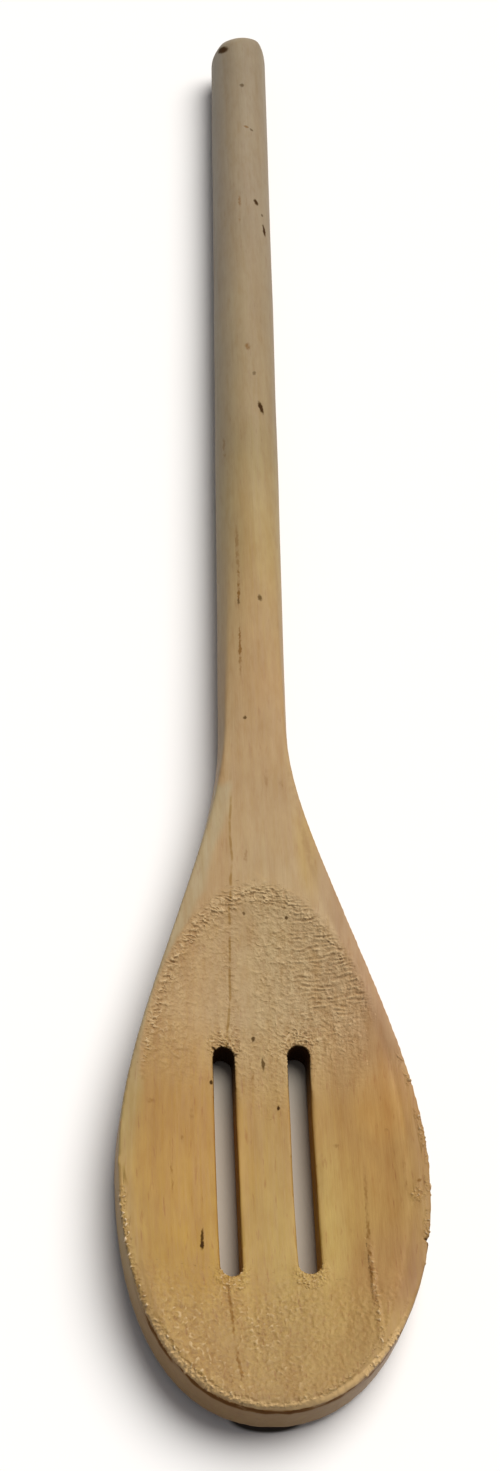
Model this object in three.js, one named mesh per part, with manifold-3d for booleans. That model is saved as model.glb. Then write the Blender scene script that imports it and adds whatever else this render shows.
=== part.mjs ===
// A wooden slotted spoon cut from one piece of wood, lying on its back with the bowl up.
// Millimetres, +Z up, X across. The tip of the head is towards -Y and the handle towards +Y.
// A station is a distance from the tip, measured along the spoon.
import * as THREE from 'three';
import { mergeVertices } from 'three/addons/utils/BufferGeometryUtils.js';
import Module from 'manifold-3d';

// The whole spoon
const overallLength = 350;

// The head, seen from above
const headWidth = 53.8;
const noseLength = 43; // tip to the widest station
const noseFullness = 2.17; // power of the nose curve, 2 being half an ellipse
const noseDrift = -1.5; // how far shaping by hand has moved the tip off the axis
const shoulderHold = 27; // how far the widest part keeps its width towards the neck
const neckHold = 27; // how far the neck keeps its width towards the head
const neckStation = 135; // where the outline has run into the handle

// The head, seen from the side
const headThickness = 10.5;
const edgeLift = 1.5; // height of the lower edge of the side wall over the sole
const crownWidth = 12; // border of the back that rises from the flat sole to that edge
const neckBlend = 98; // length over which the flat head turns into the round handle
const roundToNeck = 55; // neck station to where the handle is fully round

// The hollow of the bowl
const bowlDepth = 6;
const bowlWidth = 47.6;
const bowlTipRim = 1.4; // flat rim left at the tip
const bowlToNeck = 36; // rear end of the hollow to the neck station
const bowlFloor = 2.4; // power of the hollow's profile, higher being flatter
const bowlOffset = -0.6; // the hollow was cut this far off the axis

// The two drain slots
const slotWidth = 3.8;
const slotLength = 43.2;
const slotSpacing = 13.4; // centre to centre
const slotStation = 24.4; // tip to the first slot's front end
const slotStagger = 0.6; // how much further from the tip the next slot starts
const slotOffset = -0.2; // the slots were cut this far off the middle of the hollow
const slotCount = 2;

// The handle
const handleDiameter = 13.4;
const handleLean = THREE.MathUtils.degToRad(1.33); // sideways lean of the handle from the head's axis
const leanSweep = 46; // length of the bend, centred on the neck
const leanToNeck = 12; // middle of the bend to the neck station
const buttLength = 7; // rounded end of the handle
const buttFlat = 8.6; // width of the flat left on the end
const buttSquare = 0.25; // how far the end is trimmed square, 0 being round and 1 square
const buttSlant = 0.22; // how far the end is out of square, as a slope across its width

// Facets
const sideFacets = 16; // on each of the four sides of a cross-section
const noseStations = 15;
const noseStart = THREE.MathUtils.degToRad(4);
const flankStations = 22;
const neckStations = 9;
const buttStations = 8;
const bowlFacets = 80;
const bowlRings = 11;
const bowlHub = 0.02; // size of the flat facet in the middle of the hollow, as a share of it
const bowlFlare = 1.06; // the bowl cutter runs on past the rim by this factor
const slotEndFacets = 12;
const cutOverrun = 2; // how far the slot cutters stand out of the wood

const halfWidth = headWidth / 2;
const handleRadius = handleDiameter / 2;
const roundStation = neckStation + roundToNeck;
const tipY = -overallLength / 2;

const wasm = await Module();
wasm.setup();

function solidFrom(geometry) {
  const bare = geometry.clone();
  bare.deleteAttribute('normal');
  bare.deleteAttribute('uv');
  const merged = mergeVertices(bare, 1e-4);
  return new wasm.Manifold(new wasm.Mesh({
    numProp: 3,
    vertProperties: new Float32Array(merged.attributes.position.array),
    triVerts: new Uint32Array(merged.index.array),
  }));
}

function geometryFrom(solid) {
  const mesh = solid.getMesh();
  const geometry = new THREE.BufferGeometry();
  geometry.setAttribute('position', new THREE.BufferAttribute(mesh.vertProperties, 3));
  geometry.setIndex(new THREE.BufferAttribute(mesh.triVerts, 1));
  geometry.computeVertexNormals();
  return geometry;
}

// A closed skin over a row of rings with equal numbers of points, flat or pointed at both ends
function skin(rings) {
  const around = rings[0].length;
  const position = [];
  const index = [];
  for (const ring of rings) {
    for (const point of ring) position.push(...point.toArray());
  }
  for (let row = 0; row + 1 < rings.length; row += 1) {
    for (let k = 0; k < around; k += 1) {
      const a = row * around + k;
      const b = row * around + ((k + 1) % around);
      index.push(a, b, b + around, a, b + around, a + around);
    }
  }
  for (const [row, turned] of [[0, true], [rings.length - 1, false]]) {
    const middle = new THREE.Vector3();
    for (const point of rings[row]) middle.addScaledVector(point, 1 / around);
    const hub = position.length / 3;
    position.push(...middle.toArray());
    for (let k = 0; k < around; k += 1) {
      const a = row * around + k;
      const b = row * around + ((k + 1) % around);
      index.push(...(turned ? [hub, b, a] : [hub, a, b]));
    }
  }
  const geometry = new THREE.BufferGeometry();
  geometry.setAttribute('position', new THREE.Float32BufferAttribute(position, 3));
  geometry.setIndex(index);
  return geometry;
}

// Sideways place of the spoon's middle line: the nose drifts, the head is straight, the handle leans
function middleLine(station) {
  if (station < noseLength) return noseDrift * (1 - station / noseLength) ** 2;
  const bendStart = neckStation - leanToNeck - leanSweep / 2;
  const along = station - bendStart;
  if (along <= 0) return 0;
  const bent = Math.min(along, leanSweep);
  return Math.tan(handleLean) * (bent * bent / (2 * leanSweep) + along - bent);
}

// How far the head has turned into the handle: 0 on the flat head, 1 on the round handle
function roundness(station) {
  return THREE.MathUtils.smoothstep(station, roundStation - neckBlend, roundStation);
}

// 0 on the middle line and 1 on the edge of the head
function edgeShare(across, station) {
  if (station >= noseLength) return across;
  const side = across * noseHalfWidth(station) / halfWidth;
  const front = 1 - station / noseLength;
  return Math.min(1, (side ** noseFullness + front ** noseFullness) ** (1 / noseFullness));
}

function noseHalfWidth(station) {
  const front = Math.max(0, 1 - station / noseLength);
  return halfWidth * (1 - front ** noseFullness) ** (1 / noseFullness);
}

// Half-width of the spoon at each station of the loft, from the tip to the butt
function outline() {
  const stations = [];
  for (let i = 0; i <= noseStations; i += 1) {
    const turn = THREE.MathUtils.lerp(noseStart, Math.PI / 2, i / noseStations);
    const reach = 1 - Math.cos(turn) ** (2 / noseFullness);
    const width = halfWidth * Math.sin(turn) ** (2 / noseFullness);
    stations.push({ station: i === 0 ? 0 : reach * noseLength, width });
  }
  const flank = new THREE.CubicBezierCurve(
    new THREE.Vector2(noseLength, halfWidth),
    new THREE.Vector2(noseLength + shoulderHold, halfWidth),
    new THREE.Vector2(neckStation - neckHold, handleRadius),
    new THREE.Vector2(neckStation, handleRadius),
  );
  for (let i = 1; i <= flankStations; i += 1) {
    const point = flank.getPoint(i / flankStations);
    stations.push({ station: point.x, width: point.y });
  }
  for (let i = 1; i <= neckStations; i += 1) {
    const station = THREE.MathUtils.lerp(neckStation, roundStation, i / neckStations);
    stations.push({ station, width: handleRadius });
  }
  for (let i = 0; i <= buttStations; i += 1) {
    const turn = (Math.PI / 2) * (1 - i / buttStations);
    const reach = overallLength - buttLength * (1 - Math.cos(turn));
    const width = THREE.MathUtils.lerp(buttFlat / 2, handleRadius, Math.sin(turn));
    stations.push({ station: reach, width });
  }
  return stations;
}

// One cross-section: a flat-topped, straight-sided profile that turns into a circle along the neck
function crossSection({ station, width }) {
  const height = THREE.MathUtils.lerp(headThickness, handleDiameter, roundness(station));
  const crownShare = Math.min(1, crownWidth / halfWidth);
  const shrink = station > neckStation ? width / handleRadius : 1;
  const endShare = THREE.MathUtils.smoothstep(station, overallLength - buttLength, overallLength);
  const round = roundness(station) * (1 - buttSquare * endShare);
  const points = [];
  for (let k = 0; k < 4 * sideFacets; k += 1) {
    const side = Math.floor(k / sideFacets);
    const u = (k % sideFacets) / sideFacets;
    const turn = (Math.PI / 2) * (side + u - 0.5);
    const flatX = [1, 1 - 2 * u, -1, 2 * u - 1][side];
    const rise = Math.max(0, 1 - (1 - edgeShare(Math.abs(flatX), station)) / crownShare);
    const lower = edgeLift * rise * rise;
    const flatZ = [lower + u * (height - lower), height, height - u * (height - lower), lower][side];
    const roundZ = (height / 2) * (1 + Math.sin(turn));
    const x = width * THREE.MathUtils.lerp(flatX, Math.cos(turn), round);
    const z = THREE.MathUtils.lerp(height / 2, THREE.MathUtils.lerp(flatZ, roundZ, round), shrink);
    const y = tipY + station - buttSlant * endShare * (width - x);
    points.push(new THREE.Vector3(middleLine(station) + x, y, z));
  }
  return points;
}

// The hollow of the bowl: rings that follow the nose in front and half an ellipse behind
function bowlCutter() {
  const front = noseLength - bowlTipRim;
  const rear = neckStation - bowlToNeck - noseLength;
  const rings = [];
  for (let ring = 0; ring <= bowlRings; ring += 1) {
    const share = ring === bowlRings ? bowlFlare : Math.max(bowlHub, ring / (bowlRings - 1));
    const z = headThickness - bowlDepth * (1 - share ** bowlFloor);
    const points = [];
    for (let k = 0; k < bowlFacets; k += 1) {
      const turn = (2 * Math.PI * k) / bowlFacets;
      const ahead = Math.sin(turn) < 0;
      const power = ahead ? 2 / noseFullness : 1;
      const across = Math.sign(Math.cos(turn)) * Math.abs(Math.cos(turn)) ** power;
      const along = Math.sign(Math.sin(turn)) * Math.abs(Math.sin(turn)) ** power;
      const station = noseLength + share * along * (ahead ? front : rear);
      const x = bowlOffset + share * across * (bowlWidth / 2);
      const drift = station < noseLength ? middleLine(station) : 0;
      points.push(new THREE.Vector3(x + drift, tipY + station, z));
    }
    rings.push(points);
  }
  return skin(rings);
}

// One drain slot with round ends, standing out of the wood above and below
function slotCutter(offset, station) {
  const radius = slotWidth / 2;
  const front = tipY + station + radius;
  const rear = tipY + station + slotLength - radius;
  const shape = new THREE.Shape();
  shape.absarc(offset, rear, radius, 0, Math.PI);
  shape.absarc(offset, front, radius, Math.PI, 2 * Math.PI);
  const depth = headThickness + 2 * cutOverrun;
  const options = { depth, bevelEnabled: false, curveSegments: slotEndFacets };
  const geometry = new THREE.ExtrudeGeometry(shape, options);
  geometry.translate(0, 0, -cutOverrun);
  return geometry;
}

// The sections run from the butt to the tip, which turns the skin's faces outwards
let wood = solidFrom(skin(outline().reverse().map(crossSection)));
wood = wood.subtract(solidFrom(bowlCutter()));
for (let i = 0; i < slotCount; i += 1) {
  const offset = bowlOffset + slotOffset + (i - (slotCount - 1) / 2) * slotSpacing;
  wood = wood.subtract(solidFrom(slotCutter(offset, slotStation + i * slotStagger)));
}

const spoonMesh = new THREE.Mesh(
  geometryFrom(wood),
  new THREE.MeshStandardMaterial({ color: 0xb8996a, roughness: 0.72, metalness: 0 }),
);
spoonMesh.name = 'slotted_spoon';

const spoon = new THREE.Group();
spoon.add(spoonMesh);

export default spoon;
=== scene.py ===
import bpy
import math
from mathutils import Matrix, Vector, kdtree, noise


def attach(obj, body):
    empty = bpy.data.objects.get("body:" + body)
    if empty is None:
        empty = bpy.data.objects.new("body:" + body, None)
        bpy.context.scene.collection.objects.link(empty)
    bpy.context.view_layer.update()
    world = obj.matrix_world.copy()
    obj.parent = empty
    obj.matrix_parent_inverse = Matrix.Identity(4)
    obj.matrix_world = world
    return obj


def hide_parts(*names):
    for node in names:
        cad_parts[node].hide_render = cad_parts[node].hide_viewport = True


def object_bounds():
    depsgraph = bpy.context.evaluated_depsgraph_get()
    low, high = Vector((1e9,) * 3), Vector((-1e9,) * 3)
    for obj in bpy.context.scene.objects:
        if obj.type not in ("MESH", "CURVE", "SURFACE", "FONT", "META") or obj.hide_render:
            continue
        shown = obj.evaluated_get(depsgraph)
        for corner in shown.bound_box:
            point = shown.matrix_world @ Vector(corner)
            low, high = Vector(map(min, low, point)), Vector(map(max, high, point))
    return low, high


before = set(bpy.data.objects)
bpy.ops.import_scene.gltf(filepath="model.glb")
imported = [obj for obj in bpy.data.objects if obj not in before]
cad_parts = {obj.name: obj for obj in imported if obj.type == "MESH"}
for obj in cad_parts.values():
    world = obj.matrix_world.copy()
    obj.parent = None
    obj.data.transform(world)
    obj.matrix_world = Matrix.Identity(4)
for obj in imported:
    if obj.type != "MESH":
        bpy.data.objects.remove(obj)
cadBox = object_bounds()
print("frame loaded, box", [round(side, 4) for side in cadBox[1] - cadBox[0]])

mm = 0.001
spoonWidth, spoonLength = [round(side / mm) for side in (cadBox[1] - cadBox[0])[:2]]
tipY = round(cadBox[0][1] / mm)
white = (1, 1, 1, 1)


# Helpers for materials

def put(tree, kind, inputs, **settings):
    made = tree.nodes.new("ShaderNode" + kind)
    for name, value in settings.items():
        setattr(made, name, value)
    for socket, value in inputs.items():
        if isinstance(value, bpy.types.NodeSocket):
            tree.links.new(value, made.inputs[socket])
        else:
            made.inputs[socket].default_value = value
    return made


def sums(tree, operation, *values):
    return put(tree, "Math", dict(enumerate(values)), operation=operation).outputs[0]


def product(tree, total, *others):
    for other in others:
        total = sums(tree, "MULTIPLY", total, other)
    return total


def greatest(tree, most, *others):
    for other in others:
        most = sums(tree, "MAXIMUM", most, other)
    return most


def between(tree, value, low, high, start=0.0, end=1.0):
    inputs = {"Value": value, "From Min": low, "From Max": high, "To Min": start, "To Max": end}
    return put(tree, "MapRange", inputs, interpolation_type="SMOOTHSTEP").outputs[0]


# A colour mix has its share on socket 0 and its two colours on sockets 6 and 7
def tint(tree, mode, share, under, over):
    made = put(tree, "Mix", {0: share, 6: under, 7: over}, data_type="RGBA", blend_type=mode)
    return made.outputs[2]


# 0 in the middle of a spot and 1 at its reach
def distance(tree, place, middle, reach, turn=0.0):
    inputs = {
        "Vector": place, "Location": middle, "Rotation": (0, 0, math.radians(turn)), "Scale": reach,
    }
    offset = put(tree, "Mapping", inputs, vector_type="TEXTURE").outputs[0]
    return put(tree, "VectorMath", {0: offset}, operation="LENGTH").outputs["Value"]


# 1 for the rays that show the floor and the room, 0 for the rays that only carry light
def shownRays(tree):
    path = put(tree, "LightPath", {}).outputs
    return greatest(tree, path["Is Camera Ray"], path["Is Glossy Ray"], path["Is Transmission Ray"])


# Camera, floor and light

photoCamera = {
    "place": (-0.05334, -0.30559, 0.36582),
    "turn": (36.6068, -6.755, -2.2786),
    "lens": 56.288,
    "sensor": 36.0,
    "clipStart": 0.01,
}


def setCamera():
    turn = [math.radians(angle) for angle in photoCamera["turn"]]
    bpy.ops.object.camera_add(location=photoCamera["place"], rotation=turn)
    camera = bpy.context.active_object
    camera.data.lens = photoCamera["lens"]
    camera.data.sensor_width = photoCamera["sensor"]
    camera.data.clip_start = photoCamera["clipStart"]
    bpy.context.scene.camera = camera


stageLook = {
    "floorSize": 4.0,
    "floorDrop": 0.35 * mm,
    "floorShown": (1.0, 0.965, 0.92, 1),
    "floorBounce": (0.5, 0.5, 0.5, 1),
    # painted shade: the floor under the head is darker, seen through the slots only
    "shadeShown": (0.52, 0.45, 0.36, 1),  # the floor under the head, seen through the slots only
    "shadeMiddle": (-0.001, -0.128),
    "shadeReach": (0.015, 0.032),
    # painted shadow: the floor in the gap under the tip, nearly black
    "gapShown": (0.1, 0.085, 0.07, 1),  # the floor in the gap under the tip
    "gapMiddle": (-0.0019, -0.1726),
    "gapReach": (0.0055, 0.0022),
    "patchEdge": (1.25, 1.0),  # a patch fades out over this stretch of its reach
    "sunSlant": (0.4, 0.45),  # how far the light leans across and along, per unit of height
    "sunAngle": 49,
    "sunStrength": 3.3,
    "skyColour": (0.95, 0.99, 1.1, 1),
    "skyStrength": 0.16,
}


def layFloor():
    bpy.ops.object.select_all(action="DESELECT")
    middle = (0, 0, -stageLook["floorDrop"])
    bpy.ops.mesh.primitive_plane_add(size=stageLook["floorSize"], location=middle)
    floor = bpy.context.active_object
    floor.name = "pale_floor"
    material = bpy.data.materials.new("pale_floor")
    material.use_nodes = True
    tree = material.node_tree
    tree.nodes.remove(tree.nodes["Principled BSDF"])
    place = put(tree, "TexCoord", {}).outputs["Object"]
    colour = stageLook["floorShown"]
    # two patches of painted shade on the floor: under the head, and in the gap under the tip
    for name in ("shade", "gap"):
        middle = (*stageLook[name + "Middle"], 0)
        away = distance(tree, place, middle, (*stageLook[name + "Reach"], 1))
        patch = between(tree, away, *stageLook["patchEdge"])
        colour = tint(tree, "MIX", patch, colour, stageLook[name + "Shown"])
    bounce = put(tree, "BsdfDiffuse", {"Color": stageLook["floorBounce"]}).outputs[0]
    shown = put(tree, "BsdfDiffuse", {"Color": colour}).outputs[0]
    mixed = put(tree, "MixShader", {0: shownRays(tree), 1: bounce, 2: shown})
    tree.links.new(mixed.outputs[0], tree.nodes["Material Output"].inputs["Surface"])
    floor.data.materials.append(material)


def hangLights():
    direction = Vector((*stageLook["sunSlant"], 1.0))
    bpy.ops.object.light_add(type="SUN", location=direction)
    sun = bpy.context.active_object
    sun.rotation_euler = direction.to_track_quat("Z", "Y").to_euler()
    sun.data.energy = stageLook["sunStrength"]
    sun.data.angle = math.radians(stageLook["sunAngle"])
    world = bpy.data.worlds.new("white_room")
    bpy.context.scene.world = world
    world.use_nodes = True
    tree = world.node_tree
    sky = tree.nodes["Background"].inputs
    shown = shownRays(tree)
    tree.links.new(tint(tree, "MIX", shown, stageLook["skyColour"], white), sky["Color"])
    inputs = {"Value": shown, "To Min": stageLook["skyStrength"], "To Max": 1.0}
    tree.links.new(put(tree, "MapRange", inputs).outputs[0], sky["Strength"])


# Helpers for shapes

def selectOnly(piece):
    bpy.ops.object.select_all(action="DESELECT")
    piece.select_set(True)
    bpy.context.view_layer.objects.active = piece


def applyModifier(piece, kind, **settings):
    selectOnly(piece)
    bpy.ops.object.modifier_add(type=kind)
    modifier = piece.modifiers[-1]
    for name, value in settings.items():
        setattr(modifier, name, value)
    bpy.ops.object.modifier_apply(modifier=modifier.name)


def ramp(value, low, high, start=0.0, end=1.0):
    share = min(1.0, max(0.0, (value - low) / (high - low)))
    return start + (end - start) * share * share * (3 - 2 * share)


def ridge(value, middle, reach):
    return 1 - ramp(abs(value - middle), 0, reach)


# How far a place is to the right of a line, given as a point on it and its slope
def besideLine(x, y, line):
    lineX, lineY, slope = line
    return x - lineX - slope * (y - lineY)


# Spoon: one piece of beech, its edges worn round and its bowl rough with raised grain.
# Its finish is placed in millimetres, X across and Y along, with the tip at tipY.

bowl = {
    "middle": (-0.6, tipY + 43.0),
    "halfWidth": 23.8,
    "towardsTip": 41.6,
    "towardsNeck": 56.0,
    "tipPower": 2.17,
    "neckPower": 2.0,
    "tipDrift": -1.5,
    "tipReach": 43.0,
}
slots = {
    "places": [(-7.5, tipY + 24.4, tipY + 67.6), (5.9, tipY + 25.0, tipY + 68.2)],  # across, front, rear
    "halfWidth": 1.9,
    "fuzzReach": 3.9,
    "paintedSlotShadeRear": -100,
}
rimEdge = {
    "facing": (0.35, 0.8),
    "lowest": 8.6 * mm,
    "rearEnd": -56 * mm,
    "shadeRear": -50,
    "shadeLowest": 7,
    "shadeFacing": 0.2,
}
rimWear = {
    "rearEnd": -90,
    "lowest": 3,
    "hollowReach": 0.12,
    "hollowDepth": 0.42,
    "topFacing": 0.5,
    "tipRear": -150,
    "tipTopReach": 1.7,
    "tipWallReach": 6.0,
    "tipDepth": 0.8,
}
spoonShape = {
    "mergeReach": 0.001 * mm,
    "voxel": 0.42 * mm,
    "edgeRounds": 7,
    "roundFactor": 0.5,
    "plainShare": 0.2,
    "roughFrom": 0.15,  # zones rougher than this are divided once
    "crispFrom": 0.4,  # and these zones once more
    "crispZones": ("edgeLine", "slotEnds", "rims", "chip", "tipLine"),
    "mostFaces": 188000,
    "wobble": 0.13,
    "wobbleSize": (14, 26, 14),
    "grainLine": (-5.1, -57.0, 0.032),  # a point on the dark grain line, and its slope
    "grainLineDepth": 0.03,
    "tear": (15.9, -150.0, -0.025),  # a point on the torn line, and its slope
    "chip": (24.4, -137.5),
    "nick": (25.6, -145.7),
    "nickDepth": (0.5, 0.0, 0.5),
}
roughWood = {
    "rearEnd": -66,
    "lowest": 3,
    "leastUp": 0.2,
    "tongueLength": 5,  # how much further forward the rear slope is rough in its middle
    "patchLevel": 0.5,
    "patchSwing": 0.7,
    "rearPatchy": 0.5,
    "frontPatchy": 0.6,
    "calmLine": 0.6,  # how much calmer the rear slope is in three places
    "calmLeft": 0.5,
    "calmRipples": 0.4,
    "wind": 0.6,
    "curlWidth": 0.2,
    "crumbFrom": 0.05,
    "dentFrom": 0.12,
    "rippleLength": 0.9,
    "rippleBend": 0.8,
    "rippleLevel": 0.5,
    "rippleSwing": 1.3,
}
# Where things fade in: the start, where they are full, and the values at both if not 0 and 1
fades = {
    "facingUp": (0.3, 0.7),
    "rear": (-120, -106),
    "rightSide": (15.0, 19.5),
    "rightSideFront": (-97, -106),
    "insideHollow": (1.0, 0.95),
    "calmRear": (-108, -98),
    "calmInside": (0.92, 0.82),
    "ripplesAcross": (3.0, 8.0),
    "ripplesAlong": (-109, -97),
    "front": (-146, -158),
    "frontAcross": (-4, 12, 1.1, 0.55),
    "frontInside": (1.025, 1.0),
    "edgeAcross": (2, 10, 0.9, 0.55),
    "leftRimAcross": (-5, -12),
    "leftRimAlong": (-135, -139),
    "leftRimTip": (-148, -160, 1.0, 0.65),
    "rightRimAcross": (10, 16, 0.0, 0.8),
    "rightRimAlong": (-104, -114),
    "rightRimTufts": (-0.1, 0.25),
    "rimWidth": (1.5, 0.5),
    "rimHeight": (8.6, 9.4),
    "rimShade": (4.0, 0.3),
    "tearRear": (-142, -149),
    "tearFront": (-170, -164),
    "chip": (1.9, 0.6),
    "tipLine": (-156, -166),
    "curlPatch": (-0.12, 0.16),
    "grainLineFront": (-109, -104),
    "grainLineRear": (-70, -78),
    "slotShadeFade": (0.8, 0.3),
    "slotFacing": (0.8, 0.35),
    "wornAcross": (4, 12),
    "wornRear": (-96, -110),
    "wornFront": (-167, -156),
    "wornTip": (-150, -163),
    "nickAcross": (-1.4, 0.0),
    "nickHeight": (6.0, 10.0),
}
# Narrow stretches: the middle and how far they reach to each side
crests = {
    "rearTongue": (1.0, 8.0),
    "calmLine": (-3.4, 2.6),
    "calmLeft": (-10.5, 6.0),
    "edgeLine": (0.975, 0.065),
    "tipLine": (1.018, 0.016),
    "tear": (0.0, 0.8),
    "grainLine": (0.0, 0.35),
    "nick": (0.0, 0.7),
}
# Size of the lumps across and along, and a seed
grainSizes = {
    "patch": (6.0, 9.0, 3.0),
    "rightRim": (3.0, 3.0, 5.0),
    "windAcross": (2.2, 2.2, 41.0),
    "windAlong": (2.2, 2.2, 43.0),
    "fine": (0.36, 0.4, 7.0),
    "stitch": (1.1, 0.42, 11.0),
    "curl": (1.2, 0.85, 17.0),
    "curlPatch": (1.5, 1.3, 19.0),
    "pebble": (0.62, 0.7, 31.0),
    "crumb": (0.55, 0.5, 37.0),
    "dent": (0.9, 0.6, 47.0),
    "rippleBend": (2.8, 1.9, 23.0),
    "ripplePatch": (2.1, 1.1, 29.0),
}
# Height of the raised grain in each zone, by kind
zoneHeights = {
    "edgeLine": {"stitch": 0.26, "curl": 0.1, "fine": 0.09, "level": 0.03},
    "rearSlope": {"curl": 0.2, "stitch": 0.06, "fine": 0.08, "level": -0.025},
    "crossRidges": {"ripple": 0.14},
    "frontSlope": {"pebble": 0.26, "crumb": 0.2, "fine": 0.06, "level": -0.02},
    "slotEnds": {"fine": 0.2, "stitch": 0.14},
    "rims": {"crumb": 0.6, "fine": 0.1, "level": -0.04},
    "tear": {"crumb": 0.35, "fine": 0.06},
    "chip": {"crumb": 0.4, "fine": 0.08},
    "tipLine": {"crumb": 0.22, "dent": 0.2},
}


def fade(name, value):
    return ramp(value, *fades[name])


def crest(name, value):
    return ridge(value, *crests[name])


def lumps(name, x, y):
    wide, long, seed = grainSizes[name]
    return noise.noise(Vector((x / wide, y / long, seed)))


# 0 in the middle of the hollow and 1 along its edge
def bowlShare(x, y):
    middleX, middleY = bowl["middle"]
    ahead = y < middleY
    reach = bowl["towardsTip"] if ahead else bowl["towardsNeck"]
    power = bowl["tipPower"] if ahead else bowl["neckPower"]
    drift = bowl["tipDrift"] * ((middleY - y) / bowl["tipReach"]) ** 2 if ahead else 0.0
    across = abs(x - middleX - drift) / bowl["halfWidth"]
    along = abs(y - middleY) / reach
    return (across ** power + along ** power) ** (1 / power)


def nearSlotEnd(x, y):
    nearest = min(math.hypot(x - middle, y - end) for middle, *ends in slots["places"] for end in ends)
    return 1 - ramp(nearest, slots["halfWidth"], slots["fuzzReach"])


# 1 on the walls of the slots
def slotWall(x, y, up):
    half = slots["halfWidth"]
    nearest = min(
        math.hypot(x - middle, max(front + half - y, y - rear + half, 0))
        for middle, front, rear in slots["places"]
    )
    return fade("slotShadeFade", nearest - half) * fade("slotFacing", up)


# The points along the upper edge of the head
def findRim(spoon):
    low, high = rimEdge["facing"]
    edge = [
        point.co for point in spoon.data.vertices
        if low < point.normal.z < high
        and point.co.z > rimEdge["lowest"]
        and point.co.y < rimEdge["rearEnd"]
    ]
    rim = kdtree.KDTree(len(edge))
    for index, place in enumerate(edge):
        rim.insert(place, index)
    rim.balance()
    return rim


# How rough each zone of the head is at a place, from 0 to about 1
def roughZones(place, up, rim):
    x, y, z = place / mm
    if y > roughWood["rearEnd"] or up < roughWood["leastUp"] or z < roughWood["lowest"]:
        return {}
    share = bowlShare(x, y)
    onTop = fade("facingUp", up)
    inside = fade("insideHollow", share)
    rear = fade("rear", y + roughWood["tongueLength"] * crest("rearTongue", x))
    rightFade = 1 - fade("rightSide", x) * fade("rightSideFront", y)
    ripples = fade("ripplesAcross", x) * fade("ripplesAlong", y)
    calm = 1 - roughWood["calmLine"] * crest("calmLine", x) * fade("calmRear", y)
    calm *= 1 - roughWood["calmLeft"] * crest("calmLeft", x) * fade("calmInside", share)
    calm *= 1 - roughWood["calmRipples"] * ripples
    patch = roughWood["patchLevel"] + roughWood["patchSwing"] * lumps("patch", x, y)
    rearPatch = 1 - roughWood["rearPatchy"] * (1 - patch)
    frontPatch = 1 - roughWood["frontPatchy"] * (1 - patch)
    front = fade("front", y) * fade("frontAcross", x) * fade("frontInside", share)
    leftRim = fade("leftRimAcross", x) * fade("leftRimAlong", y) * fade("leftRimTip", y)
    rightRim = fade("rightRimAcross", x) * fade("rightRimAlong", y)
    rightRim *= fade("rightRimTufts", lumps("rightRim", x, y))
    onRim = fade("rimWidth", rim.find(place)[2] / mm) * fade("rimHeight", z)
    tear = crest("tear", besideLine(x, y, spoonShape["tear"]))
    chipX, chipY = spoonShape["chip"]
    return {
        "edgeLine": onTop * crest("edgeLine", share) * rear * rightFade * fade("edgeAcross", x),
        "rearSlope": onTop * inside * rear * rightFade * calm * rearPatch,
        "crossRidges": onTop * inside * rightFade * ripples,
        "frontSlope": onTop * front * frontPatch,
        "slotEnds": onTop * nearSlotEnd(x, y),
        "rims": onRim * (leftRim + rightRim),
        "tear": onTop * tear * fade("tearRear", y) * fade("tearFront", y),
        "chip": onTop * fade("chip", math.hypot(x - chipX, y - chipY)),
        "tipLine": onTop * crest("tipLine", share) * fade("tipLine", y),
    }


# Height of the raised grain at a place, in millimetres
def grainHeight(x, y, zones):
    if not zones:
        return 0.0
    windX = x + roughWood["wind"] * lumps("windAcross", x, y)
    windY = y + roughWood["wind"] * lumps("windAlong", x, y)
    curl = max(0.0, 1 - abs(lumps("curl", windX, windY)) / roughWood["curlWidth"])
    bend = roughWood["rippleBend"] * lumps("rippleBend", x, y)
    ripple = math.sin(math.tau * (y + bend) / roughWood["rippleLength"])
    ripplePatch = roughWood["rippleLevel"] + roughWood["rippleSwing"] * lumps("ripplePatch", x, y)
    kinds = {
        "level": 1.0,
        "fine": lumps("fine", windX, windY),
        "stitch": lumps("stitch", windX, windY),
        "pebble": lumps("pebble", windX, windY),
        "curl": curl * fade("curlPatch", lumps("curlPatch", x, y)),
        "crumb": max(0.0, lumps("crumb", x, y) - roughWood["crumbFrom"]),
        "dent": min(0.0, lumps("dent", x, y) + roughWood["dentFrom"]),
        "ripple": ripple * max(0.0, ripplePatch),
    }
    height = 0.0
    for zone, heights in zoneHeights.items():
        height += zones[zone] * sum(most * kinds[kind] for kind, most in heights.items())
    groove = crest("grainLine", besideLine(x, y, spoonShape["grainLine"]))
    groove *= fade("grainLineFront", y) * fade("grainLineRear", y)
    return height - spoonShape["grainLineDepth"] * groove


def carveSpoon():
    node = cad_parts["slotted_spoon"]
    spoon = bpy.data.objects.new("beech_spoon", node.data.copy())
    bpy.context.scene.collection.objects.link(spoon)
    selectOnly(spoon)
    bpy.ops.object.mode_set(mode="EDIT")
    bpy.ops.mesh.select_all(action="SELECT")
    bpy.ops.mesh.remove_doubles(threshold=spoonShape["mergeReach"])
    bpy.ops.object.mode_set(mode="OBJECT")
    applyModifier(spoon, "REMESH", mode="VOXEL", voxel_size=spoonShape["voxel"])
    applyModifier(spoon, "SMOOTH", factor=spoonShape["roundFactor"], iterations=spoonShape["edgeRounds"])
    print("edges rounded,", len(spoon.data.polygons), "faces")
    return spoon


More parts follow.
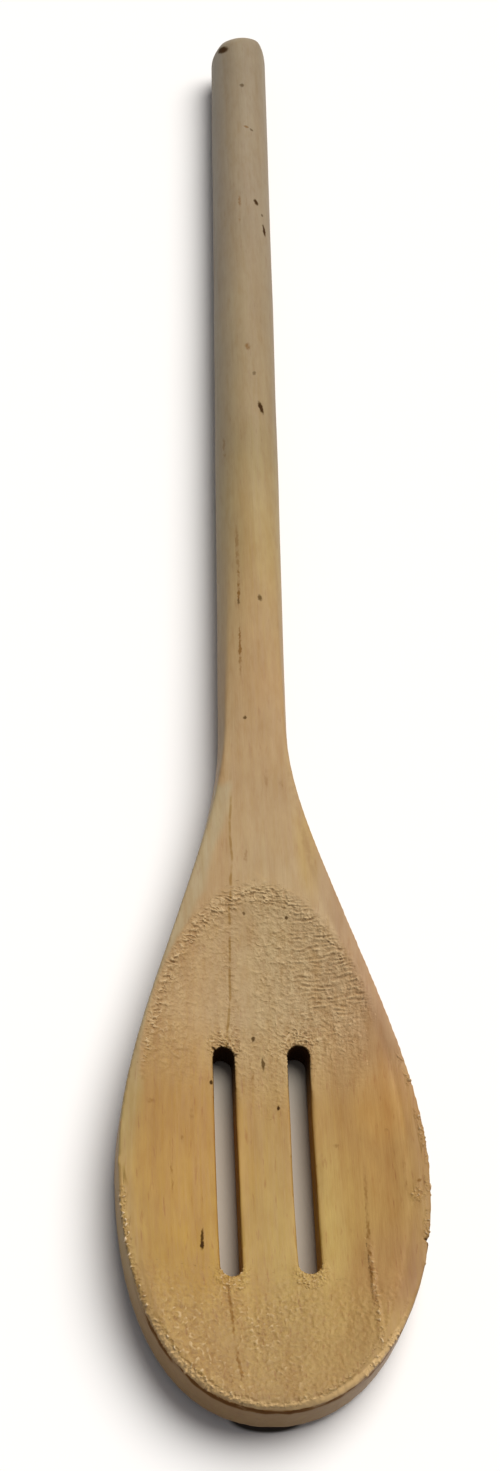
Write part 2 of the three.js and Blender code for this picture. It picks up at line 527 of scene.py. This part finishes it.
# The rim is worn: round towards the hollow on the right, round over its outer edge at the tip.
# The depths are all gathered before a point moves, because normals are worked out anew after each move.
def wearRim(spoon, rim):
    lowered = {}
    for point in spoon.data.vertices:
        x, y, z = point.co / mm
        if y > rimWear["rearEnd"] or z < rimWear["lowest"]:
            continue
        up = point.normal.z
        inner = max(0.0, 1 - abs(bowlShare(x, y) - 1) / rimWear["hollowReach"])
        right = fade("wornAcross", x) * fade("wornRear", y) * fade("wornFront", y) * fade("facingUp", up)
        reach = rimWear["tipTopReach"] if up > rimWear["topFacing"] else rimWear["tipWallReach"]
        outer = max(0.0, 1 - rim.find(point.co)[2] / mm / reach) if y < rimWear["tipRear"] else 0.0
        depth = rimWear["hollowDepth"] * right * inner * inner
        depth += rimWear["tipDepth"] * fade("wornTip", y) * outer * outer
        lowered[point.index] = depth * mm
    for index, depth in lowered.items():
        spoon.data.vertices[index].co.z -= depth


def roughest(place, up, rim, names=None):
    zones = roughZones(place, up, rim)
    return max((zones[name] for name in zones if names is None or name in names), default=0.0)


def thinPlainWood(spoon, rim):
    plain = spoon.vertex_groups.new(name="plainWood")
    limit = spoonShape["roughFrom"]
    points = spoon.data.vertices
    smooth = [point.index for point in points if roughest(point.co, point.normal.z, rim) < limit]
    plain.add(smooth, 1.0, "REPLACE")
    applyModifier(spoon, "DECIMATE", ratio=spoonShape["plainShare"], vertex_group="plainWood")
    spoon.vertex_groups.clear()
    print("plain wood thinned,", len(spoon.data.polygons), "faces")


def splitRoughWood(spoon, rim, limit, names=None):
    selectOnly(spoon)
    bpy.ops.object.mode_set(mode="EDIT")
    bpy.ops.mesh.select_mode(type="FACE")
    bpy.ops.mesh.select_all(action="DESELECT")
    bpy.ops.object.mode_set(mode="OBJECT")
    for face in spoon.data.polygons:
        face.select = roughest(face.center, face.normal.z, rim, names) > limit
    bpy.ops.object.mode_set(mode="EDIT")
    bpy.ops.mesh.subdivide(number_cuts=1)
    bpy.ops.object.mode_set(mode="OBJECT")
    applyModifier(spoon, "TRIANGULATE")
    print("rough wood divided,", len(spoon.data.polygons), "faces")


# The grain is raised, and what the finish needs to know of each point is kept as attributes
def raiseGrain(spoon, rim):
    shares = {"lift": [], "fuzz": [], "paintedSlotShade": [], "rim": []}
    moved = []
    nickX, nickY = spoonShape["nick"]
    wide, long, high = spoonShape["wobbleSize"]
    for point in spoon.data.vertices:
        x, y, z = point.co / mm
        up = point.normal.z
        zones = roughZones(point.co, up, rim)
        height = grainHeight(x, y, zones)
        onRim = y < rimEdge["shadeRear"] and z > rimEdge["shadeLowest"] and up > rimEdge["shadeFacing"]
        shares["lift"].append(height)
        shares["fuzz"].append(min(1.0, sum(zones.values())))
        # painted shade on the walls of the slots, kept as a point attribute
        shares["paintedSlotShade"].append(slotWall(x, y, up) if y < slots["paintedSlotShadeRear"] else 0.0)
        shares["rim"].append(fade("rimShade", rim.find(point.co)[2] / mm) if onRim else 0.0)
        wobble = spoonShape["wobble"] * noise.noise(Vector((x / wide, y / long, z / high)))
        place = point.co + point.normal * (height + wobble) * mm
        nick = crest("nick", y - nickY) * fade("nickAcross", x - nickX) * fade("nickHeight", z)
        moved.append(place - Vector(spoonShape["nickDepth"]) * nick * mm)
    for point, place in zip(spoon.data.vertices, moved):
        point.co = place
    for name, values in shares.items():
        spoon.data.attributes.new(name, "FLOAT", "POINT").data.foreach_set("value", values)
    lifts = shares["lift"]
    print("grain raised, lift from", round(min(lifts), 2), "to", round(max(lifts), 2), "mm")


def thinFlatSpots(spoon):
    ratio = min(1.0, spoonShape["mostFaces"] / len(spoon.data.polygons))
    applyModifier(spoon, "DECIMATE", ratio=ratio)
    bpy.ops.object.shade_smooth()
    print("flat spots thinned,", len(spoon.data.polygons), "faces")


# Beech, darkened by use, with painted light and shade in places

# A colour as seen on a screen, from 0 to 255, in the linear values that a shader takes
def paint(red, green, blue):
    def linear(value):
        value = value / 255
        return value / 12.92 if value <= 0.04045 else ((value + 0.055) / 1.055) ** 2.4
    return (linear(red), linear(green), linear(blue), 1.0)


beechLook = {
    # colour of the wood along the spoon
    "along": [
        (-175, (154, 121, 68)),
        (-145, (165, 132, 66)),
        (-120, (161, 124, 62)),
        (-102, (168, 139, 95)),
        (-80, (166, 137, 94)),
        (-30, (162, 127, 77)),
        (18, (156, 130, 80)),
        (32, (142, 118, 76)),
        (115, (138, 118, 87)),
        (175, (130, 112, 82)),
    ],
    # tint of the lengthwise bands across the head, how far they waver, and where they show. The bands
    # are partly the wood's own, partly painted light that lifts the right slope of the hollow and dims
    # the left against the sun's shading
    "across": [
        (-26, (0.94, 0.93, 1.0)),
        (-21, (0.92, 0.86, 0.77)),
        (-12, (0.94, 0.87, 0.75)),
        (-7, (1.0, 0.97, 0.9)),
        (1, (1.02, 1.04, 1.02)),
        (10, (1.13, 1.13, 1.16)),
        (20, (1.18, 1.07, 1.12)),
        (26, (1.1, 1.08, 1.2)),
    ],
    "waverReach": 6.0,
    "headBands": [("y", -55.0, -85.0), ("y", -150.0, -165.0, 1.0, 0.45)],
    # broad soft patches: place, half-width, half-length, tint
    "patches": [
        ((-14.0, -131.0), 12.0, 26.0, (1.02, 0.98, 0.66)),
        # painted light: lifts the right slope of the hollow, which faces away from the sun
        ((20.0, -119.0), 6.0, 9.0, (1.2, 1.22, 1.2)),
        ((11.0, -138.0), 5.0, 14.0, (1.06, 1.12, 1.15)),
        ((9.0, -68.0), 2.6, 12.0, (1.0, 0.97, 0.72)),
        ((3.0, 4.0), 5.0, 14.0, (1.0, 1.0, 0.88)),
        ((3.0, 32.0), 6.0, 10.0, (0.98, 0.99, 0.9)),
        ((19.5, -150.0), 8.0, 9.0, (0.92, 0.88, 0.97)),
        ((-15.0, -149.0), 8.0, 8.0, (0.97, 0.95, 0.74)),
    ],
    "patchDepth": 1000,
    "patchFade": (1.2, 0.4),
    # clouds of noise: scale, shift, detail, roughness
    "clouds": {
        "waver": ((0.02, 0.03, 0.02), 7.0),
        "streaks": ((0.36, 0.014, 0.36), 5.0, 3.0, 0.55),
        "fibres": ((2.4, 0.06, 2.4), 11.0, 4.0, 0.6),
        "blotches": ((0.13, 0.06, 0.13), 15.0, 2.0, 0.6),
        "flecks": ((0.8, 0.2, 0.8), 18.0, 2.0, 0.6),
        "hair": ((1.25, 1.35, 1.25), 27.0, 2.0, 0.6),
        "pores": ((1.5, 0.22, 1.5), 21.0, 2.0, 0.6),
        "threads": ((3.2, 0.12, 3.2), 33.0, 3.0, 0.6),
        "tipUneven": ((0.22, 0.22, 0.5), 45.0),
        "brownBreaks": ((0.9, 0.6, 0.9), 41.0),
        "lineWander": ((0.0, 0.12, 0.0), 3.0),
        "lineBreaks": ((0.2, 0.3, 0.2), 9.0),
    },
    "cloudSpread": (1.0, 1.7, 0.6),  # how a shift is shared out over the axes
    # tint of the wood over each cloud
    "cloudTints": {
        "streaks": [(0.32, (0.93, 0.88, 0.78)), (0.5, white), (0.68, (1.05, 1.07, 1.08))],
        "fibres": [(0.3, (0.95, 0.91, 0.84)), (0.55, white), (0.75, (1.04, 1.05, 1.06))],
        "blotches": [(0.3, (0.94, 0.93, 0.93)), (0.7, (1.05, 1.05, 1.04))],
        "flecks": [(0.32, (0.95, 0.91, 0.82)), (0.5, white), (0.68, (1.05, 1.07, 1.09))],
        "hair": [(0.34, (0.84, 0.78, 0.68)), (0.5, white), (0.66, (1.12, 1.15, 1.2))],
    },
    # coats over the plain wood in their order: name, how it is laid on, colour, and where it shows.
    # That is what is read, where the coat starts, where it is full, and the shares there if not 0 and 1,
    # or only a name for what is a share already.
    "coats": [
        ("pores", "MULTIPLY", paint(198, 138, 80), [
            ("pores", 0.6, 0.76), ("y", -90.0, -120.0, 0.2, 0.4),
        ]),
        # painted shade in the hollows between the raised fibres
        ("pitShade", "MULTIPLY", paint(150, 108, 72), [
            ("lift", -0.02, -0.2, 0.0, 0.3), ("fuzz",),
        ]),
        # the raised fibres painted paler: partly their own paler colour, partly a painted highlight on
        # the crests
        ("crests", "MIX", paint(207, 176, 128), [
            ("lift", 0.02, 0.17, 0.0, 0.65), ("fuzz",),
        ]),
        ("tufts", "MIX", paint(226, 200, 164), [
            ("lift", 0.1, 0.26, 0.0, 0.6), ("rim", 0.6, 0.9), ("y", -110.0, -125.0),
        ]),
        ("paleTip", "MIX", paint(214, 176, 118), [
            ("rim", 0.93, 0.995), ("y", -154.0, -166.0, 0.0, 0.75),
        ]),
        # painted sheen: the left rim tinted paler and grey-blue
        ("leftRimSheen", "MULTIPLY", (0.98, 1.19, 1.55, 1), [
            ("rim", 0.0, 0.6), ("x", -2.0, -6.0, 0.0, 0.9), ("y", -140.0, -120.0), ("fuzz", 0.5, 0.05),
        ]),
        ("darkRightRim", "MULTIPLY", (0.84, 0.79, 0.76, 1), [
            ("rim", 0.02, 0.4), ("x", 7.0, 13.0), ("y", -163.0, -150.0),
        ]),
        # the wall at the tip darker: partly its end grain, partly painted shade on the wall that faces
        # away from the sun
        ("tipWall", "MULTIPLY", (0.87, 0.8, 0.72, 1), [
            ("up", 0.55, 0.3), ("y", -150.0, -163.0),
        ]),
        ("tipLine", "MULTIPLY", (0.5, 0.36, 0.24, 1), [
            ("up", 0.55, 0.3), ("y", -150.0, -163.0), ("z", 7.4, 8.4), ("z", 9.6, 9.2),
            ("tipUneven", 0.38, 0.6, 0.25, 1.0),
        ]),
        # painted shade: the shaded left flank of the neck tinted grey-blue like a cool fill light
        ("coolShadeLeftNeck", "MULTIPLY", (1.0, 1.06, 1.22, 1), [
            ("besideHandle", -1.0, -4.5), ("y", -60.0, -40.0),
        ]),
        ("grainLine", "MULTIPLY", (0.84, 0.81, 0.74, 1), [
            ("besideGrainLine", 0.36, 0.08), ("lineBreaks", 0.35, 0.62),
            ("y", -46.0, -62.0), ("y", -158.0, -150.0),
        ]),
    ],
    "lineWanderReach": 1.6,
    "handleLine": (1.21, 0.0, 0.0232),  # a point on the middle line of the handle, and its slope
    # marks: place, half-width, half-length, turn in degrees, strength
    "darkMarks": [
        ((0.8, 168.1, 11.5), 1.2, 1.9, 35, 1),
        ((4.7, 153.0, 13.4), 0.59, 0.75, 0, 0.6),
        ((6.4, 136.8, 13.1), 0.53, 0.43, -20, 0.6),
        ((6.5, 111.2, 12.8), 0.64, 1.1, 10, 1),
        ((7.9, 107.8, 12.0), 0.37, 0.64, 0, 0.6),
        ((8.2, 103.0, 11.6), 0.43, 2.1, 4, 1),
        ((3.7, 54.6, 13.3), 0.43, 0.75, 0, 0.48),
        ((4.8, 44.6, 12.9), 0.59, 2, 12, 1),
        ((2.3, -8.7, 13.0), 0.52, 0.95, 8, 0.7),
        ((-2.0, -9.6, 12.5), 0.32, 0.9, 0, 0.6),
        ((-1.7, -38.2, 11.9), 0.42, 0.5, 0, 0.75),
        ((-12.4, -145.4, 6.0), 0.34, 1, -4, 1),
        ((-12.35, -143.9, 6.0), 0.24, 1.9, -4, 0.9),
        ((-10.0, -114.5, 5.7), 0.37, 0.52, 0, 0.96),
        ((-9.2, -108.0, 6.0), 0.72, 0.33, -35, 1),
        ((1.9, -118.9, 4.8), 0.34, 0.56, 0, 1),
        ((-2.1, -105.6, 5.5), 0.42, 0.56, 0, 0.84),
        ((-0.5, -110.4, 5.1), 0.36, 1.5, 0, 0.75),
        ((4.5, -82.3, 9.3), 0.37, 0.48, 0, 0.78),
        ((-3.3, -81.5, 9.3), 0.37, 0.48, 0, 0.66),
        ((25.5, -145.6, 10.0), 0.94, 0.29, 0, 1),
        ((25.3, -147.0, 10.3), 0.28, 1, 0, 0.72),
    ],
    "brownMarks": [
        ((5.2, 137.5, 13.3), 0.9, 0.45, -12, 0.62),
        ((2.6, 110.8, 13.3), 0.4, 2.2, 0, 0.5),
        ((2.4, 105.2, 13.3), 0.4, 2, 0, 0.44),
        ((2.6, 62.6, 13.4), 0.7, 1.2, 0, 0.62),
        ((-1.8, 3.0, 12.6), 0.36, 10, -0.6, 0.4),
        ((-1.85, -5.4, 12.5), 0.32, 6.5, -0.6, 0.8),
        ((-2.1, -21.6, 12.2), 0.3, 7.5, -1, 0.7),
        ((-3.4, 34.0, 12.4), 0.45, 7, 0, 0.44),
        ((4.7, -53.5, 11.0), 0.42, 1.4, 0, 0.45),
        ((1.9, -52.5, 11.1), 0.4, 3, 0, 0.28),
        ((-2.7, -69.0, 10.7), 0.4, 3.4, 0, 0.36),
        ((6.9, -53.5, 10.9), 0.8, 7, 8, 0.18),
        ((9.0, -67.5, 10.6), 0.8, 7.5, 9, 0.2),
        ((-6.4, -106.4, 5.7), 0.5, 0.7, 0, 0.88),
        ((-1.2, -107.6, 5.3), 0.36, 1.2, 8, 0.6),
        ((1.0, -113.0, 5.0), 0.36, 1, 0, 0.55),
        ((-2.4, -113.6, 5.0), 0.3, 1.4, -6, 0.45),
        ((11.5, -126.4, 5.9), 0.6, 0.4, 0, 0.6),
        ((20.1, -124.9, 8.0), 0.36, 0.4, 0, 0.5),
        ((24.8, -134.9, 10.4), 0.5, 0.4, 20, 0.6),
        ((-15.4, -126.0, 6.5), 0.42, 0.9, 0, 0.45),
        ((-13.6, -121.0, 6.2), 0.45, 1.2, 0, 0.3),
        ((-21.2, -120.0, 8.2), 1.2, 0.6, 10, 0.42),
        ((-17.4, -133.4, 7.0), 0.3, 3.4, 0, 0.45),
        ((15.7, -147.5, 7.0), 0.42, 17.5, -1.4, 0.6),
        ((-8.0, -157.5, 6.4), 0.4, 6.5, 2.6, 0.65),
        ((-7.1, -168.0, 9.0), 0.38, 6, 6.8, 0.6),
        ((22.5, -133.0, 9.0), 0.3, 4, 0, 0.5),
    ],
    "darkColour": paint(58, 36, 12),
    "brownColour": paint(118, 78, 34),
    "brownBreaks": [("brownBreaks", 0.36, 0.58, 0.25, 1.0)],
    "markDepth": 3.0,
    "markFade": (1.15, 0.45),
    "raggedScale": 1.3,
    "raggedDetail": 1.0,
    "raggedMiddle": (0.5, 0.5, 0.5),
    "raggedReach": (0.6, 0.6, 0.0),
    # painted shade on the walls of the slots, near black at the rear
    "slotTint": (0.85, 0.7, 0.36, 1),
    "slotRearTint": (0.05, 0.028, 0.012, 1),
    "slotRear": [("y", -122.0, -109.0)],
    "fuzzRelief": 0.3,
    "threadRelief": 0.035,
    "dull": (0.35, 0.7, 0.62, 0.74),  # over the fibres
    "gloss": (0.0, 0.8, 0.5, 0.05),  # from clean wood to dark marks, and so is the sheen
    "sheen": (0.0, 0.8, 0.15, 0.0),
    "sheenRoughness": 0.5,
}


def bands(tree, value, stops):
    made = put(tree, "ValToRGB", {0: value})
    points = made.color_ramp.elements
    while len(points) < len(stops):
        points.new(0.5)
    for point, (place, colour) in zip(points, stops):
        point.position = place
        point.color = (*colour[:3], 1)
    return made.outputs[0]


def cloud(tree, place, scale, shift, detail=2.0, roughness=0.5):
    shifts = [shift * part for part in beechLook["cloudSpread"]]
    moved = put(tree, "Mapping", {"Vector": place, "Scale": scale, "Location": shifts}).outputs[0]
    settings = {"Vector": moved, "Scale": 1.0, "Detail": detail, "Roughness": roughness}
    return put(tree, "TexNoise", settings).outputs[0]


# A value from 0 to 1 spread over a reach, with its middle at nothing
def sway(tree, value, reach):
    return sums(tree, "MULTIPLY_ADD", value, reach, -reach / 2)


def rightOfLine(tree, wood, line):
    lineX, lineY, slope = line
    offset = sums(tree, "MULTIPLY_ADD", wood["y"], -slope, slope * lineY - lineX)
    return sums(tree, "ADD", wood["x"], offset)


# All that the finish reads: the place in millimetres, the facing, the kept attributes and the clouds
def readWood(tree):
    spot = put(tree, "TexCoord", {}).outputs["Object"]
    place = put(tree, "Mapping", {"Vector": spot, "Scale": (1 / mm, 1 / mm, 1 / mm)}).outputs[0]
    axes = put(tree, "SeparateXYZ", {0: place}).outputs
    wood = {"place": place, "x": axes["X"], "y": axes["Y"], "z": axes["Z"]}
    facing = put(tree, "NewGeometry", {}).outputs["Normal"]
    wood["up"] = put(tree, "SeparateXYZ", {0: facing}).outputs["Z"]
    for name in ("lift", "fuzz", "paintedSlotShade", "rim"):
        wood[name] = put(tree, "Attribute", {}, attribute_name=name).outputs["Fac"]
    for name, settings in beechLook["clouds"].items():
        wood[name] = cloud(tree, place, *settings)
    wood["besideHandle"] = rightOfLine(tree, wood, beechLook["handleLine"])
    wander = sway(tree, wood["lineWander"], beechLook["lineWanderReach"])
    offLine = sums(tree, "ADD", rightOfLine(tree, wood, spoonShape["grainLine"]), wander)
    wood["besideGrainLine"] = sums(tree, "ABSOLUTE", offLine)
    return wood


def shownShare(tree, wood, reads):
    shares = [between(tree, wood[name], *limits) if limits else wood[name] for name, *limits in reads]
    return product(tree, *shares)


# 1 on the marks and 0 beside them, with ragged edges
def markShare(tree, place, marks):
    inputs = {"Vector": place, "Scale": beechLook["raggedScale"], "Detail": beechLook["raggedDetail"]}
    ragged = put(tree, "TexNoise", inputs).outputs["Color"]
    centred = {0: ragged, 1: beechLook["raggedMiddle"]}
    wander = put(tree, "VectorMath", centred, operation="SUBTRACT").outputs[0]
    spread = {0: wander, 1: beechLook["raggedReach"], 2: place}
    rough = put(tree, "VectorMath", spread, operation="MULTIPLY_ADD").outputs[0]
    total = 0.0
    for spot, halfWidth, halfLength, turn, strength in marks:
        away = distance(tree, rough, spot, (halfWidth, halfLength, beechLook["markDepth"]), turn)
        near = between(tree, away, *beechLook["markFade"], 0.0, strength)
        total = sums(tree, "MAXIMUM", near, total)
    return total


# The plain wood: its colour along and across, soft patches, and the tints of its clouds, some of them
# painted light and shade
def plainColour(tree, wood):
    along = sums(tree, "MULTIPLY_ADD", wood["y"], 1 / spoonLength, 0.5)
    stops = [(spot / spoonLength + 0.5, paint(*shade)) for spot, shade in beechLook["along"]]
    colour = bands(tree, along, stops)
    waver = sway(tree, wood["waver"], beechLook["waverReach"])
    across = sums(tree, "MULTIPLY_ADD", sums(tree, "ADD", wood["x"], waver), 1 / spoonWidth, 0.5)
    stops = [(spot / spoonWidth + 0.5, shade) for spot, shade in beechLook["across"]]
    headShare = shownShare(tree, wood, beechLook["headBands"])
    colour = tint(tree, "MULTIPLY", headShare, colour, bands(tree, across, stops))
    for spot, halfWidth, halfLength, shade in beechLook["patches"]:
        reach = (halfWidth, halfLength, beechLook["patchDepth"])
        away = distance(tree, wood["place"], (*spot, 0), reach)
        near = between(tree, away, *beechLook["patchFade"])
        colour = tint(tree, "MULTIPLY", near, colour, (*shade, 1))
    # the hair tint is partly the paler fibres, partly painted highlight and shade that follow the fine
    # relief
    for name, stops in beechLook["cloudTints"].items():
        share = wood["fuzz"] if name == "hair" else 1.0  # hair shows only where the grain is raised
        colour = tint(tree, "MULTIPLY", share, colour, bands(tree, wood[name], stops))
    return colour


def beech():
    material = bpy.data.materials.new("used_beech")
    material.use_nodes = True
    tree = material.node_tree
    shader = tree.nodes["Principled BSDF"].inputs
    wood = readWood(tree)
    colour = plainColour(tree, wood)
    coats = {}
    for name, mode, shade, reads in beechLook["coats"]:
        coats[name] = shownShare(tree, wood, reads)
        colour = tint(tree, mode, coats[name], colour, shade)

    brown = markShare(tree, wood["place"], beechLook["brownMarks"])
    brown = product(tree, brown, shownShare(tree, wood, beechLook["brownBreaks"]))
    colour = tint(tree, "MIX", brown, colour, beechLook["brownColour"])
    dark = markShare(tree, wood["place"], beechLook["darkMarks"])
    colour = tint(tree, "MIX", dark, colour, beechLook["darkColour"])
    # painted shade on the walls of the slots, near black at the rear
    slotRear = shownShare(tree, wood, beechLook["slotRear"])
    slotShadeColour = tint(tree, "MIX", slotRear, beechLook["slotTint"], beechLook["slotRearTint"])
    colour = tint(tree, "MULTIPLY", wood["paintedSlotShade"], colour, slotShadeColour)
    tree.links.new(colour, shader["Base Color"])

    # Fine relief: threads everywhere, fuzz where the grain is raised
    relief = product(tree, wood["hair"], wood["fuzz"], beechLook["fuzzRelief"])
    relief = sums(tree, "MULTIPLY_ADD", wood["threads"], beechLook["threadRelief"], relief)
    raised = put(tree, "Bump", {"Height": relief, "Distance": mm, "Strength": 1.0})
    tree.links.new(raised.outputs[0], shader["Normal"])
    tree.links.new(between(tree, wood["fibres"], *beechLook["dull"]), shader["Roughness"])
    # where the wood is dull: dark marks and lines, and the painted shade in the slots
    marksAndShade = greatest(tree, wood["paintedSlotShade"], coats["tipLine"], dark, brown, coats["grainLine"])
    tree.links.new(between(tree, marksAndShade, *beechLook["gloss"]), shader["Specular IOR Level"])
    tree.links.new(between(tree, marksAndShade, *beechLook["sheen"]), shader["Sheen Weight"])
    shader["Sheen Roughness"].default_value = beechLook["sheenRoughness"]
    return material


setCamera()
layFloor()
hangLights()
print("stage set")

spoon = carveSpoon()
rim = findRim(spoon)
wearRim(spoon, rim)
rim = findRim(spoon)
thinPlainWood(spoon, rim)
splitRoughWood(spoon, rim, spoonShape["roughFrom"])
splitRoughWood(spoon, rim, spoonShape["crispFrom"], spoonShape["crispZones"])
raiseGrain(spoon, rim)
thinFlatSpots(spoon)
spoon.data.materials.clear()
spoon.data.materials.append(beech())
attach(spoon, "root")
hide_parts("slotted_spoon")
print("spoon finished")

bpy.context.scene.view_settings.view_transform = "Standard"
